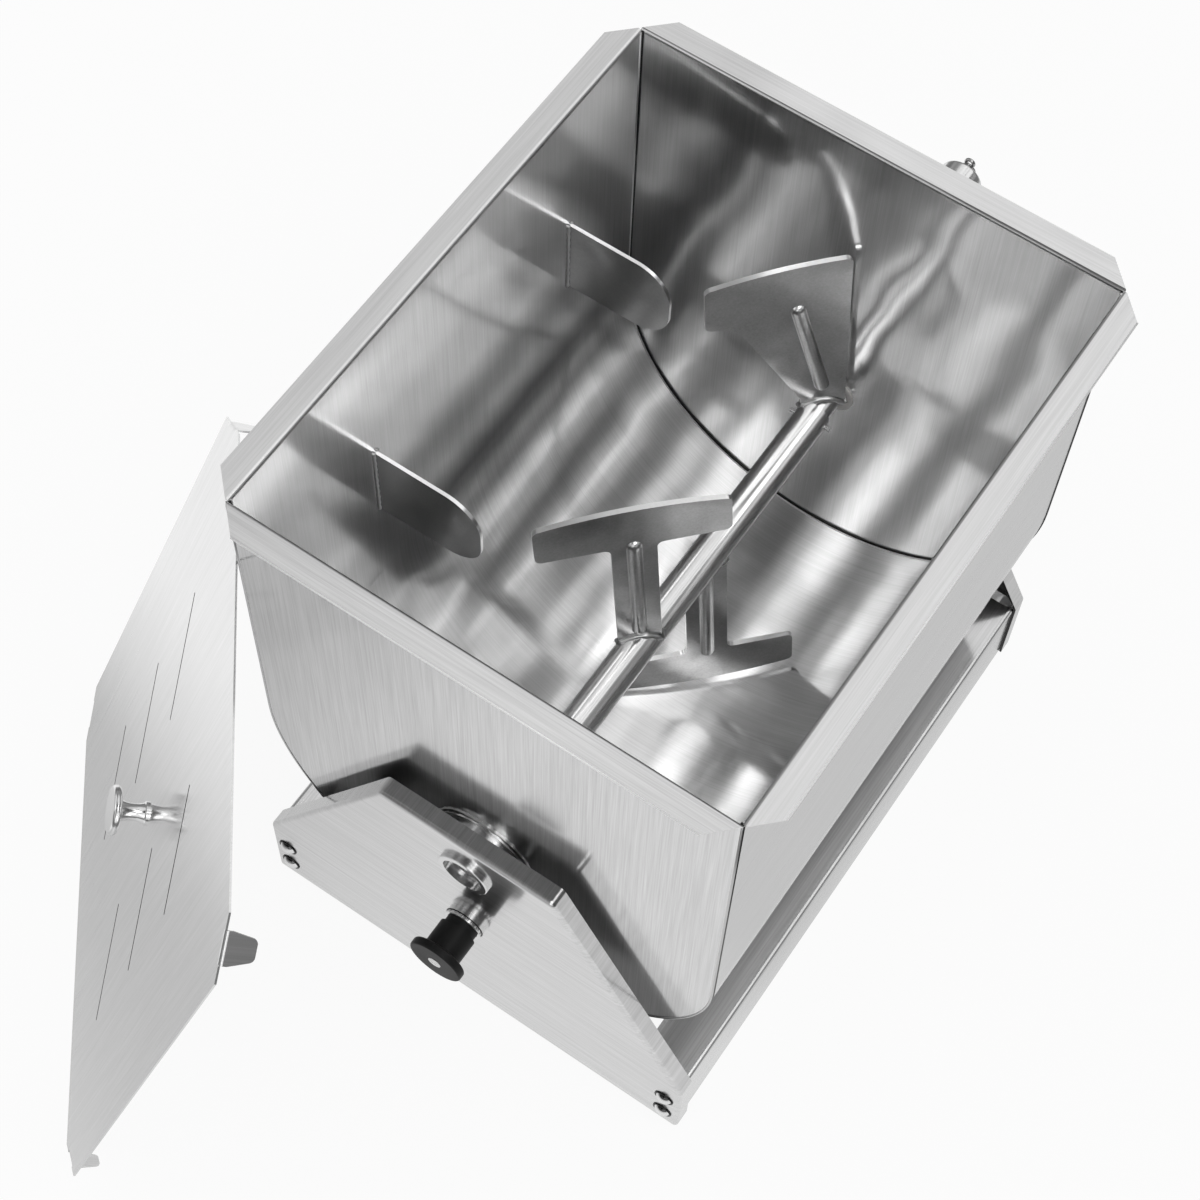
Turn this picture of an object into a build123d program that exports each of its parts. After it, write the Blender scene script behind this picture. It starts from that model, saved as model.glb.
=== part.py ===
from build123d import *
import os
from math import atan2, cos, radians, sin, sqrt, tan

# Lengths are in millimetres. X runs across the machine and the hopper pours toward +X.
# Y runs along the mixing shaft, with the locking plunger at negative Y and the crank at
# positive Y. Z is up from the surface the feet rest on, and the origin is under the
# middle of the hopper.

# Hopper
hopper_width = 280.0  # between the side walls
hopper_length = 340.0  # between the end walls
hopper_sheet = 1.2
hopper_rise = 215.5  # rim above the shaft
flange_reach = 15.0  # from a wall's inner face to its flange's edge
sheet_bend = 1.0  # inside radius of every sheet fold
shaft_height = 189.0

# Baffles on the left wall
baffle_sheet = 2.0
baffle_reach = 66.0
baffle_height = 55.0
baffle_above_shaft = 66.0
baffle_corner = 22.0
baffle_to_t = 40.5  # front baffle to the front T paddle's middle, so that the paddles pass it
baffle_to_end = 51.0  # rear baffle to the rear end paddle's middle

# Stands
stand_gap = 16.3  # between an end wall and its stand
stand_sheet = 1.5
stand_half_width = 141.2
stand_fold = 11.0
stand_shoulder = 56.0  # height of the upright part of the sides
stand_top_above_shaft = 30.4
stand_top_half_width = 54.3
stand_corner = 4.0
foot_height = 5.0

# Rails
rail_height = 55.0
rail_top_flange = 31.0
rail_bottom_flange = 34.0
rail_tab = 20.0
rail_tab_step = 4.0
rail_top_relief = 11.5  # from the stand's outer face to the top flange's end
rail_bottom_relief = 6.5

# Fasteners and feet
screw_radius = 3.0
screw_head_radius = 5.2
screw_head_height = 3.3
screw_length = 13.0
screw_across = 131.0
screw_heights = (19.0, 41.0)
nut_across_flats = 10.0
nut_height = 5.0
foot_radius = 11.5
foot_across = 121.5
foot_set_back = 17.5  # from a stand's outer face to a foot's middle
foot_screw_radius = 2.0
foot_screw_head_radius = 4.0
foot_screw_head_height = 2.4
foot_recess = 3.0
foot_nut_height = 3.2

# Bearings the hopper tilts in
journal_radius = 12.0
bush_sleeve_radius = 14.0
bush_flange_radius = 15.5
bush_flange = 2.8
bush_floor_gap = 1.0  # from a bush's inner end to the trunnion's pocket floor
trunnion_disc_radius = 29.0
trunnion_disc = 2.5
trunnion_hub_radius = 25.0
journal_recess = 4.8
trunnion_floor = 4.8  # from the wall to the bottom of the hub's bush pocket

# Mixing shaft
spindle_radius = 8.0
tube_radius = 10.0
tube_front_gap = 3.0  # from the front wall's inner face to the tube
tube_rear_gap = 19.0  # from the tube to the rear wall's inner face
stub_stand_out = 6.8  # past the front wall's outer face
stub_length = 38.0
spindle_depth = 23.0  # of the drive spindle inside the tube
drive_pin_radius = 1.5
drive_pin_set_back = 4.5  # from the tube's rear end
drive_pin_stand_out = 3.5
nylon_radius = 10.0
nylon_flange_radius = 14.0
nylon_flange = 1.1
nylon_length = 8.0
nylon_cap_radius = 11.5
nylon_cap = 1.6

# Paddles
blade_sheet = 3.0
blade_reach = 134.0
blade_pitch = 45.0
mixer_turn = -4.7  # how the paddles stand in the photo, from upright
head_half_length = 51.0
head_inner_edge = 101.0
stem_half_width = 12.0
blade_foot = 5.2
blade_corner = 4.0
rib_radius = 4.5
rib_sink = 1.5  # rib's centre below the blade's front face
groove_radius = 2.3
t_stations = {"front_t_paddle": -27.0, "rear_t_paddle": 37.0}
t_rib_foot = 18.0  # from the shaft to the lower end of a T paddle's rib
end_set_in = 13.0  # from an end wall to its paddle's middle
end_wall_edge = 14.0
end_tab_edge = -66.0
end_tab_low = 92.5  # from the shaft to the tab's lower corner
end_tab_slope = 15.0
end_tab_rise = 3.0
end_gusset_rise = 8.0
end_rib_foot = 24.0
end_rib_lean = 15.0

# Crank
crank_turn = 6.3
crank_throw = 103.6
crank_arm_gap = 1.4  # from the rear bush's face to the arm
crank_arm_thickness = 6.0
crank_arm_half_width = 12.0
crank_hub_radius = 13.0
crank_hub_length = 12.0
hub_pin_radius = 2.0
grip_radius = 12.5
grip_length = 68.0
grip_spindle_radius = 5.0
grip_washer_radius = 9.0
grip_washer = 1.0
split_pin_radius = 1.0

# Locking plunger
plunger_below_shaft = 66.0
plunger_travel = 4.0
plunger_pin_radius = 3.0
plunger_barrel_radius = 6.0
plunger_chamber_radius = 4.6
plunger_collar_radius = 11.5
plunger_collar_length = 5.5
plunger_collar_floor = 1.0
plunger_neck_radius = 9.5
plunger_sleeve_radius = 11.0
plunger_disc_radius = 16.5
plunger_disc = 5.0
plunger_out = 31.0  # knob's outer face from the stand
plunger_cap_radius = 4.0
boss_radius = 10.0
boss_length = 5.0

# Lid
lid_width = 300.0
lid_height = 370.0
lid_sheet = 1.0
lid_chamfer = 25.0
lid_heading = 37.2
lid_lean = 20.25
lid_shift = 53.5  # lid's middle past the hopper's corner, along its own width
tab_depth = 15.0
tab_inset = 9.0
slot_length = 70.0
slot_width = 1.5
slot_columns = (51.0, -56.0)
slot_rows = (75.0, -8.0, -89.5)
lid_screw_radius = 2.5
lid_screw_depth = 8.0  # of its hole in the knob
lid_washer_radius = 6.5
lid_washer = 1.0
lid_knob_base_radius = 6.5
lid_knob_waist_radius = 4.7
lid_knob_rim_radius = 13.6
lid_knob_rim = 4.2
lid_knob_height = 19.4

# Clearances
seat = 0.02  # radial, round pieces fixed in a hole
running = 0.05  # radial, round pieces that turn or slide
thrust = 0.3  # between faces that slide past each other
lid_gap = 0.3

# Derived
half_width = hopper_width / 2
half_length = hopper_length / 2
wall_outer = half_length + hopper_sheet
shell_outer = half_width + hopper_sheet
rim_height = shaft_height + hopper_rise
flange_x = half_width + flange_reach
flange_y = half_length + flange_reach
corner_line = shell_outer + wall_outer
stand_inner = wall_outer + stand_gap
stand_face = stand_inner + stand_sheet
stand_top = shaft_height + stand_top_above_shaft
rail_outer = stand_half_width - stand_sheet
rail_top = foot_height + rail_height
bush_face = stand_face + bush_flange
bush_inner_end = wall_outer + trunnion_floor + bush_floor_gap
journal_end = bush_face - journal_recess
foot_along = stand_face - foot_set_back
tube_front_end = tube_front_gap - half_length
tube_rear_end = half_length - tube_rear_gap
stub_outer_end = -wall_outer - stub_stand_out
drive_pin_station = tube_rear_end - drive_pin_set_back
end_station = half_length - end_set_in
baffle_stations = {
    "front_baffle": t_stations["front_t_paddle"] - baffle_to_t,
    "rear_baffle": end_station - baffle_to_end,
}
crank_arm_inner = bush_face + crank_arm_gap
plunger_height = shaft_height - plunger_below_shaft
fine = 0.01


def rod(radius, start, end, x=0.0, z=0.0):
    """Round bar along Y."""
    return Pos(x, (start + end) / 2, z) * Rot(90, 0, 0) * Cylinder(radius, abs(end - start))


def ring(outer, inner, start, end, x=0.0, z=0.0):
    """Tube along Y."""
    return rod(outer, start, end, x, z) - rod(inner, start - 1, end + 1, x, z)


def folded(points, thickness):
    """Section of a folded sheet whose middle line runs through the points."""
    middle = FilletPolyline(*points, radius=sheet_bend + thickness / 2)
    return trace(middle, line_width=thickness)


def along_y(section, start, end):
    """Extrude a section drawn in X and Z from one Y to another."""
    return extrude(Plane.XZ.offset(-start) * section, amount=start - end)


def rear_copy(shape):
    """The same shape at the other end of the machine."""
    return mirror(shape, about=Plane.XZ)


def on_shaft(shape, turn=0.0):
    """Lift a shape drawn about the origin onto the shaft and turn it about the shaft."""
    return Pos(0, 0, shaft_height) * Rot(0, turn, 0) * shape


def hopper_shell():
    middle = half_width + hopper_sheet / 2
    top = hopper_rise - hopper_sheet / 2
    side = FilletPolyline((flange_x, top), (middle, top), (middle, 0), radius=sheet_bend + hopper_sheet / 2)
    bowl = CenterArc((0, 0), middle, 180, 180)
    other = mirror(side, about=Plane.YZ)
    section = trace([*side.edges(), *bowl.edges(), *other.edges()], line_width=hopper_sheet)
    shell = along_y(section, -half_length, half_length)
    return on_shaft(shell) & corner_prism()


def corner_prism():
    """Plan of the rim, with its corners cut at 45 degrees through the corners of the walls."""
    plan = Polygon(
        (flange_x, corner_line - flange_x),
        (corner_line - flange_y, flange_y),
        (flange_y - corner_line, flange_y),
        (-flange_x, corner_line - flange_x),
        (-flange_x, flange_x - corner_line),
        (flange_y - corner_line, -flange_y),
        (corner_line - flange_y, -flange_y),
        (flange_x, flange_x - corner_line),
        align=None,
    )
    return extrude(plan, amount=rim_height + 1)


def end_wall(hole):
    """Front end wall with its flange; the rear wall is its mirror image."""
    middle = wall_outer - hopper_sheet / 2
    top = hopper_rise - hopper_sheet / 2
    section = folded([(-middle, -shell_outer), (-middle, top), (-flange_y, top)], hopper_sheet)
    sheet = extrude(Plane.YZ * section, amount=shell_outer, both=True)
    upright = Pos(0, hopper_rise / 2) * Rectangle(2 * shell_outer, hopper_rise + fine)
    outline = Circle(shell_outer) + upright
    plate = sheet & along_y(outline, -flange_y - 1, -half_length + 1)
    plate = plate - rod(hole + seat, -flange_y, -half_length + 1)
    return on_shaft(plate) & corner_prism()


def baffle(station):
    left = -half_width
    profile = Pos(left + baffle_reach / 2, baffle_above_shaft + baffle_height / 2) * Rectangle(
        baffle_reach, baffle_height
    )
    free_corners = profile.vertices().sort_by(Axis.X)[-2:]
    profile = fillet(free_corners, baffle_corner)
    plate = along_y(profile, station - baffle_sheet / 2, station + baffle_sheet / 2)
    return on_shaft(plate)


def trunnion(bore):
    """Front trunnion: a disc on the wall, a hub and the journal inside the hub's pocket."""
    hub_end = stand_inner - thrust
    pocket = wall_outer + trunnion_floor
    body = rod(trunnion_disc_radius, -wall_outer - trunnion_disc, -wall_outer)
    body += rod(trunnion_hub_radius, -hub_end, -wall_outer)
    body -= rod(bush_sleeve_radius + 2 * thrust, -hub_end - 1, -pocket)
    body += rod(journal_radius - running, -journal_end, -wall_outer)
    body -= rod(bore + seat, -journal_end - 1, -wall_outer + 1)
    return on_shaft(body)


def bearing_bush():
    """Flanged bush in the front stand."""
    body = rod(bush_flange_radius, -bush_face, -stand_face)
    body = fillet(body.edges().group_by(Axis.Y)[0], 0.8)
    body += rod(bush_sleeve_radius, -stand_face - 0.5, -bush_inner_end)
    body -= rod(journal_radius, -bush_face - 1, -bush_inner_end + 1)
    return on_shaft(body)


def locking_boss():
    """Boss on the front wall that the plunger locks with the hopper level."""
    boss = rod(boss_radius, -wall_outer - boss_length, -wall_outer, 0, -plunger_below_shaft)
    boss = fillet(boss.edges().group_by(Axis.Y)[0], 0.8)
    hole = rod(plunger_pin_radius + 0.3, -half_length - 20, -wall_outer + 1, 0, -plunger_below_shaft)
    return on_shaft(boss - hole)


def stand_outline(inset, low):
    """Outline of a stand in X and Z, moved inward by the inset, with its bottom edge at low."""
    shoulder = foot_height + stand_shoulder
    lean = atan2(stand_half_width - stand_top_half_width, stand_top - shoulder)
    points = [
        (stand_half_width - inset, low),
        (stand_half_width - inset, shoulder - inset * tan(lean / 2)),
        (stand_top_half_width - inset * (1 - sin(lean)) / cos(lean), stand_top - inset),
    ]
    outline = Polygon(*points, *[(-x, z) for x, z in reversed(points)], align=None)
    bends = [v for v in outline.vertices() if v.Y > low + 1]
    return fillet(bends, stand_corner - inset)


def stand(holes):
    """Front stand: a plate folded back along its sides, slopes and top."""
    back = -stand_face + stand_fold
    body = along_y(stand_outline(0, foot_height), -stand_face, back)
    front_edges = [
        e
        for e in body.edges().filter_by_position(Axis.Y, -stand_face - fine, -stand_face + fine)
        if e.center().Z > foot_height + 1
    ]
    body = fillet(front_edges, sheet_bend + stand_sheet)
    hollow = along_y(stand_outline(stand_sheet, -foot_height), -stand_inner, back + 1)
    inner_edges = [
        e
        for e in hollow.edges().filter_by_position(Axis.Y, -stand_inner - fine, -stand_inner + fine)
        if e.center().Z > 0
    ]
    body -= fillet(inner_edges, sheet_bend)
    for radius, x, z in holes:
        body -= rod(radius + seat, -stand_face - 1, -stand_inner + 1, x, z)
    return body


def stand_holes():
    holes = [(bush_sleeve_radius, 0.0, shaft_height)]
    for side in (-1, 1):
        for height in screw_heights:
            holes.append((screw_radius, side * screw_across, height))
    return holes


def rail():
    """Right rail: a C-channel with a tab turned in at each end behind the stands."""
    middle = rail_outer - stand_sheet / 2
    low = foot_height + stand_sheet / 2
    high = rail_top - stand_sheet / 2
    top_end = stand_face - rail_top_relief
    bottom_end = stand_face - rail_bottom_relief
    inner_top = rail_outer - rail_top_flange
    inner_bottom = rail_outer - rail_bottom_flange
    half = (low + high) / 2
    upper = folded([(inner_top, high), (middle, high), (middle, half)], stand_sheet)
    lower = folded([(middle, half), (middle, low), (inner_bottom, low)], stand_sheet)
    body = along_y(upper, -top_end, top_end) + along_y(lower, -bottom_end, bottom_end)
    tab_y = stand_inner - stand_sheet / 2
    tab_x = rail_outer - rail_tab
    plan = folded([(tab_x, -tab_y), (middle, -tab_y), (middle, tab_y), (tab_x, tab_y)], stand_sheet)
    tab_low = foot_height + rail_tab_step
    body += extrude(Pos(0, 0, tab_low) * plan, amount=rail_height - 2 * rail_tab_step)
    for side in (-1, 1):
        for height in screw_heights:
            start = side * (tab_y - 3)
            end = side * (tab_y + 3)
            body -= rod(screw_radius + seat, start, end, screw_across, height)
        hole = Pos(foot_across, side * foot_along, foot_height) * Cylinder(foot_screw_radius + seat, 6)
        body -= hole
    return body


def dome(radius, height):
    """Domed screw head standing on the XY plane."""
    ball = (radius**2 + height**2) / (2 * height)
    cap = Pos(0, 0, height - ball) * Sphere(ball)
    return cap & (Pos(0, 0, height) * Box(4 * radius, 4 * radius, 2 * height))


def stand_screw():
    """Screw through the front stand, pointing along +Y, with its head outside."""
    head = Rot(90, 0, 0) * dome(screw_head_radius, screw_head_height)
    return Pos(0, -stand_face, 0) * head + rod(screw_radius, -stand_face - 0.5, -stand_face + screw_length)


def stand_nut():
    tab_face = stand_inner - stand_sheet
    flats = RegularPolygon(nut_across_flats / sqrt(3), 6) - Circle(screw_radius + seat)
    return along_y(flats, -tab_face, -tab_face + nut_height)


def at_each_screw(piece):
    """Copies of a piece of the front stand at all eight screws."""
    copies = []
    for x in (-screw_across, screw_across):
        for height in screw_heights:
            front = Pos(x, 0, height) * piece
            copies += front.solids() + rear_copy(front).solids()
    return Compound(copies)


def at_each_foot(piece):
    places = [(x, y) for x in (-foot_across, foot_across) for y in (-foot_along, foot_along)]
    return Compound([Pos(x, y, 0) * piece for x, y in places])


def rubber_foot():
    body = Pos(0, 0, foot_height / 2) * Cylinder(foot_radius, foot_height)
    body = fillet(body.edges().group_by(Axis.Z)[0], 1.0)
    body -= Pos(0, 0, foot_recess / 2) * Cylinder(foot_screw_head_radius + 0.5, foot_recess)
    return body - Pos(0, 0, foot_height) * Cylinder(foot_screw_radius + seat, 3 * foot_height)


def foot_screw():
    top = foot_height + stand_sheet + foot_nut_height + 1
    shank = Pos(0, 0, (foot_recess + top) / 2) * Cylinder(foot_screw_radius, top - foot_recess)
    start = foot_recess - foot_screw_head_height
    head = Pos(0, 0, (start + foot_recess) / 2) * Cylinder(foot_screw_head_radius, foot_screw_head_height)
    return shank + head


def foot_nut():
    flats = RegularPolygon(4.0, 6) - Circle(foot_screw_radius + seat)
    return Pos(0, 0, foot_height + stand_sheet) * extrude(flats, amount=foot_nut_height)


def at_plunger(shape):
    return Pos(0, 0, plunger_height) * shape


pin_tip = -wall_outer - boss_length - 0.5
barrel_inner = pin_tip - 0.8
barrel_outer = -stand_face - 7.5
guide_inner = barrel_outer + 2.0
shoulder_inner = barrel_inner - 3.6 - plunger_travel
shoulder_outer = shoulder_inner - 1.2
collar_face = -stand_face - plunger_collar_length
knob_face = -stand_face - plunger_out


def plunger_barrel():
    """Threaded body through the stand, bored from outside for the spring."""
    body = rod(plunger_barrel_radius, barrel_outer, barrel_inner)
    body -= rod(plunger_chamber_radius, barrel_outer - 1, shoulder_inner + plunger_travel + thrust)
    return at_plunger(body - rod(plunger_pin_radius + running, barrel_outer, barrel_inner + 1))


def plunger_guide():
    inner = plunger_pin_radius + running
    return at_plunger(ring(plunger_chamber_radius - seat, inner, barrel_outer, guide_inner))


def plunger_collar():
    """Knurled cup against the stand that the knob's neck slides into."""
    teeth = 24
    section = Circle(plunger_collar_radius)
    for number in range(teeth):
        notch = Rot(0, 0, number * 360 / teeth) * Pos(plunger_collar_radius + 0.5, 0) * Circle(0.9)
        section -= notch
    body = along_y(section, collar_face, -stand_face)
    body -= rod(plunger_neck_radius + 0.2, collar_face - 1, -stand_face - plunger_collar_floor)
    return at_plunger(body - rod(plunger_barrel_radius + seat, collar_face, -stand_face + 1))


def plunger_nut():
    flats = RegularPolygon(18.0 / sqrt(3), 6) - Circle(plunger_barrel_radius + seat)
    return at_plunger(along_y(flats, -stand_inner, -stand_inner + nut_height))


def plunger_spring():
    """Spring drawn at its shortest, as it is with the plunger pulled out."""
    wire = 0.55
    length = shoulder_outer - guide_inner - 2 * wire - 2 * fine
    middle = (plunger_pin_radius + plunger_chamber_radius) / 2
    path = Helix(pitch=length / 4, height=length, radius=middle)
    coil = sweep(Plane(origin=path @ 0, z_dir=path % 0) * Circle(wire), path=path)
    return at_plunger(Pos(0, shoulder_outer - wire - fine, 0) * Rot(90, 0, 0) * coil)


def plunger_pin():
    body = rod(plunger_pin_radius, knob_face + plunger_disc, pin_tip)
    body = chamfer(body.edges().group_by(Axis.Y)[-1], 0.6)
    body += rod(plunger_chamber_radius - 0.1, shoulder_outer, shoulder_inner)
    return at_plunger(body)


def plunger_knob():
    neck_end = -stand_face - plunger_collar_floor - plunger_travel - thrust
    shoulder = collar_face - plunger_travel - thrust
    disc_back = knob_face + plunger_disc
    disc = rod(plunger_disc_radius, knob_face, disc_back)
    disc = fillet(disc.edges(), 1.2)
    body = disc + rod(plunger_sleeve_radius, disc_back - 1, shoulder)
    body += rod(plunger_neck_radius, shoulder - 1, neck_end)
    body -= rod(plunger_barrel_radius + 0.3, barrel_outer - plunger_travel - thrust, neck_end + 1)
    body -= rod(plunger_pin_radius + seat, disc_back - fine, neck_end + 1)
    body -= rod(plunger_cap_radius + seat, knob_face - 1, knob_face + 1)
    return at_plunger(body)


def plunger_cap():
    cap = rod(plunger_cap_radius, knob_face - 0.3, knob_face + 1)
    return at_plunger(fillet(cap.edges().group_by(Axis.Y)[0], 0.25))


def mixer_tube():
    body = ring(tube_radius, spindle_radius + running, tube_front_end, tube_rear_end)
    return on_shaft(body - cross_pin(drive_pin_radius + seat, tube_radius + 5), mixer_turn)


def cross_pin(radius, half):
    """Round pin across the shaft at the drive pin's place."""
    return Pos(0, drive_pin_station, 0) * Rot(0, 90, 0) * Cylinder(radius, 2 * half)


def drive_pin():
    pin = cross_pin(drive_pin_radius, tube_radius + drive_pin_stand_out)
    return on_shaft(chamfer(pin.edges(), 0.3), mixer_turn)


def tip_points(first, last, steps):
    """Points of a blade's outer edge, which keeps one distance from the hopper's round bottom."""
    points = []
    for step in range(steps + 1):
        a = first + (last - first) * step / steps
        points.append((a, sqrt(blade_reach**2 - (a * sin(radians(blade_pitch))) ** 2)))
    return points


def t_outline():
    """Blade drawn along its length and out from the shaft: a stem with a wide head."""
    tip = tip_points(head_half_length, -head_half_length, 8)
    edges = [
        Line((-head_half_length, head_inner_edge), (-stem_half_width, head_inner_edge)),
        Line((-stem_half_width, head_inner_edge), (-stem_half_width, blade_foot)),
        Line((-stem_half_width, blade_foot), (stem_half_width, blade_foot)),
        Line((stem_half_width, blade_foot), (stem_half_width, head_inner_edge)),
        Line((stem_half_width, head_inner_edge), (head_half_length, head_inner_edge)),
        Line((head_half_length, head_inner_edge), tip[0]),
        Spline(*tip),
        Line(tip[-1], (-head_half_length, head_inner_edge)),
    ]
    outline = make_face(Curve() + edges)
    return fillet([v for v in outline.vertices() if v.Y > blade_foot + 1], blade_corner)


def end_outline():
    """Blade beside an end wall: a gusset with a tab reaching toward the middle."""
    tip = tip_points(end_wall_edge, end_tab_edge, 8)
    bend = end_tab_edge + end_tab_slope
    corners = [
        (end_tab_edge, end_tab_low),
        (bend, end_tab_low - end_tab_rise),
        (bend + blade_corner, end_tab_low - end_tab_rise - blade_corner),
        (-stem_half_width, blade_foot + end_gusset_rise),
        (-stem_half_width, blade_foot),
        (end_wall_edge, blade_foot),
    ]
    path = [tip[-1], *corners, tip[0]]
    edges = [Line(a, b) for a, b in zip(path, path[1:])]
    outline = make_face(Curve() + [Spline(*tip), *edges])
    rounded = [v for v in outline.vertices() if v.Y > end_tab_low - end_tab_rise / 2]
    return fillet(rounded, blade_corner)


def capsule(radius, start, end):
    """Round bar with ball ends between two points."""
    line = Edge.make_line(start, end)
    bar = sweep(Plane(origin=line @ 0, z_dir=line % 0) * Circle(radius), path=line)
    return bar + Pos(*start) * Sphere(radius) + Pos(*end) * Sphere(radius)


def paddle(outline, rib, station, half_turn):
    """Pitched blade with a pressed rib, standing on the shaft at a station along it."""
    face = blade_sheet / 2
    plate = extrude(outline, amount=face, both=True)
    (a0, r0), (a1, r1) = rib
    plate += capsule(rib_radius, (a0, r0, face - rib_sink), (a1, r1, face - rib_sink))
    trim = Pos(0, blade_reach / 2, -face - 10) * Box(4 * blade_reach, 4 * blade_reach, 20)
    plate = plate - trim - capsule(groove_radius, (a0, r0, -face), (a1, r1, -face))
    pitch = radians(blade_pitch)
    along = (sin(pitch), cos(pitch), 0)
    normal = (cos(pitch), -sin(pitch), 0)
    frame = Plane(origin=(0, station, 0), x_dir=along, z_dir=normal)
    turned = Rot(0, 0, 180 if half_turn else 0) * plate
    placed = frame.location * turned
    placed -= rod(tube_radius + seat, -half_length, tube_rear_end + seat)
    placed -= rod(spindle_radius + seat, -half_length, half_length)
    return on_shaft(placed, mixer_turn)


def drive_spindle():
    end = crank_arm_inner + crank_arm_thickness + crank_hub_length + 1
    body = rod(spindle_radius, tube_rear_end - spindle_depth, end)
    body = chamfer(body.edges().group_by(Axis.Y)[-1], 0.8)
    body -= Rot(0, mixer_turn, 0) * cross_pin(drive_pin_radius + seat, tube_radius)
    return on_shaft(body - Rot(0, crank_turn, 0) * hub_pin_bar(hub_pin_radius + seat, crank_hub_radius))


def hub_pin_bar(radius, half):
    station = crank_arm_inner + crank_arm_thickness + crank_hub_length / 2
    return Pos(0, station, 0) * Rot(0, 90, 0) * Cylinder(radius, 2 * half)


def crank_arm():
    """Flat bar from the spindle to the grip."""
    slot = Pos(0, crank_throw / 2) * SlotCenterToCenter(crank_throw, 2 * crank_arm_half_width, rotation=90)
    slot -= Circle(spindle_radius + seat)
    slot -= Pos(0, crank_throw) * Circle(grip_spindle_radius + seat)
    body = along_y(slot, crank_arm_inner, crank_arm_inner + crank_arm_thickness)
    return on_shaft(chamfer(body.edges().filter_by(GeomType.LINE, reverse=True), 0.5), crank_turn)


def crank_hub():
    start = crank_arm_inner + crank_arm_thickness
    body = rod(crank_hub_radius, start, start + crank_hub_length)
    body = fillet(body.edges().group_by(Axis.Y)[-1], 1.2)
    body -= rod(spindle_radius + seat, start - 1, start + crank_hub_length + 1)
    return on_shaft(body - hub_pin_bar(hub_pin_radius + seat, 2 * crank_hub_radius), crank_turn)


def crank_hub_pin():
    pin = hub_pin_bar(hub_pin_radius, crank_hub_radius + 0.4)
    return on_shaft(chamfer(pin.edges(), 0.3), crank_turn)


def crank_washer():
    start = bush_face + fine * 10
    body = ring(nylon_cap_radius, spindle_radius + running, start, crank_arm_inner - fine * 10)
    return on_shaft(body)


grip_start = crank_arm_inner + crank_arm_thickness + grip_washer + thrust
grip_end = grip_start + grip_length
spindle_end = grip_end + thrust + grip_washer + 5.0
split_pin_station = grip_end + thrust + grip_washer + 2.0


def grip_spindle():
    body = rod(grip_spindle_radius, crank_arm_inner, spindle_end, 0, crank_throw)
    body = chamfer(body.edges().group_by(Axis.Y)[-1], 0.8)
    hole = Pos(0, split_pin_station, crank_throw) * Cylinder(2 * split_pin_radius + seat, 20)
    return on_shaft(body - hole, crank_turn)


def grip_washers():
    inner = grip_spindle_radius + seat
    near = crank_arm_inner + crank_arm_thickness
    far = grip_end + thrust
    rings = [ring(grip_washer_radius, inner, y, y + grip_washer, 0, crank_throw) for y in (near, far)]
    return Compound([on_shaft(r, crank_turn) for r in rings])


def crank_grip():
    body = rod(grip_radius, grip_start, grip_end, 0, crank_throw)
    body = fillet(body.edges(), 2.5)
    body -= rod(grip_spindle_radius + running, grip_start - 1, grip_end + 1, 0, crank_throw)
    return on_shaft(body, crank_turn)


def split_pin():
    """Eye and two legs, pressed together, through the end of the grip's spindle."""
    top = grip_spindle_radius + 1.5
    eye = Pos(0, 0, top + 2.7) * Rot(90, 0, 0) * Torus(2.3, split_pin_radius)
    for side in (-0.8, 0.8):
        eye += capsule(split_pin_radius, (side * split_pin_radius, 0, -9.0), (side * split_pin_radius, 0, top))
    return on_shaft(Pos(0, split_pin_station, crank_throw) * eye, crank_turn)


def lid_frame():
    """Plane on the lid's inner face at its middle: X along its width, Y up the sheet, Z outward."""
    heading = radians(lid_heading)
    lean = radians(lid_lean)
    toward = Vector(cos(heading), sin(heading), 0)
    width = Vector(sin(heading), -cos(heading), 0)
    up = Vector(0, 0, cos(lean)) + toward * sin(lean)
    outward = Vector(0, 0, sin(lean)) - toward * cos(lean)
    corner = Vector(-shell_outer, -wall_outer, 0)
    top = corner - toward * lid_gap + width * lid_shift + Vector(0, 0, lid_height * cos(lean))
    return Plane(origin=top - up * (lid_height / 2), x_dir=width, z_dir=outward)


def lid_tab():
    """Folded tab drawn with the fold along Y and the sheet ending at X = 0."""
    middle = lid_sheet / 2
    start = -3 * (sheet_bend + lid_sheet)
    section = folded([(start, middle), (-middle, middle), (-middle, -tab_depth)], lid_sheet)
    root = lid_chamfer * sqrt(2) / 2 - tab_inset
    strip = along_y(section, -root, root)
    outline = Polygon(
        (-root, 2), (root, 2), (root, -3), (root - 3.2, -tab_depth), (3.2 - root, -tab_depth), (-root, -3),
        align=None,
    )
    outline = fillet(outline.vertices().sort_by(Axis.Y)[:2], 3.0)
    prism = extrude(Plane.YZ * outline, amount=12, both=True)
    return strip & prism


def lid_panel():
    half_x = lid_width / 2
    half_y = lid_height / 2
    sheet = chamfer(Rectangle(lid_width, lid_height).vertices(), lid_chamfer)
    for x in slot_columns:
        for y in slot_rows:
            sheet -= Pos(x, y) * SlotOverall(slot_length, slot_width, rotation=135)
    sheet -= Circle(lid_screw_radius + seat)
    panel = extrude(sheet, amount=lid_sheet)
    fold = sheet_bend + lid_sheet
    root = lid_chamfer * sqrt(2) / 2 - tab_inset
    notch = Pos(-fold / 2, 0, lid_sheet / 2) * Box(fold, 2 * root, 2 * lid_sheet)
    for side_x, side_y, turn in ((1, 1, 45), (-1, 1, 135), (-1, -1, 225), (1, -1, 315)):
        place = Pos(side_x * (half_x - lid_chamfer / 2), side_y * (half_y - lid_chamfer / 2), 0)
        place = place * Rot(0, 0, turn)
        panel = panel - place * notch + place * lid_tab()
    return lid_frame().location * panel


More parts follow.
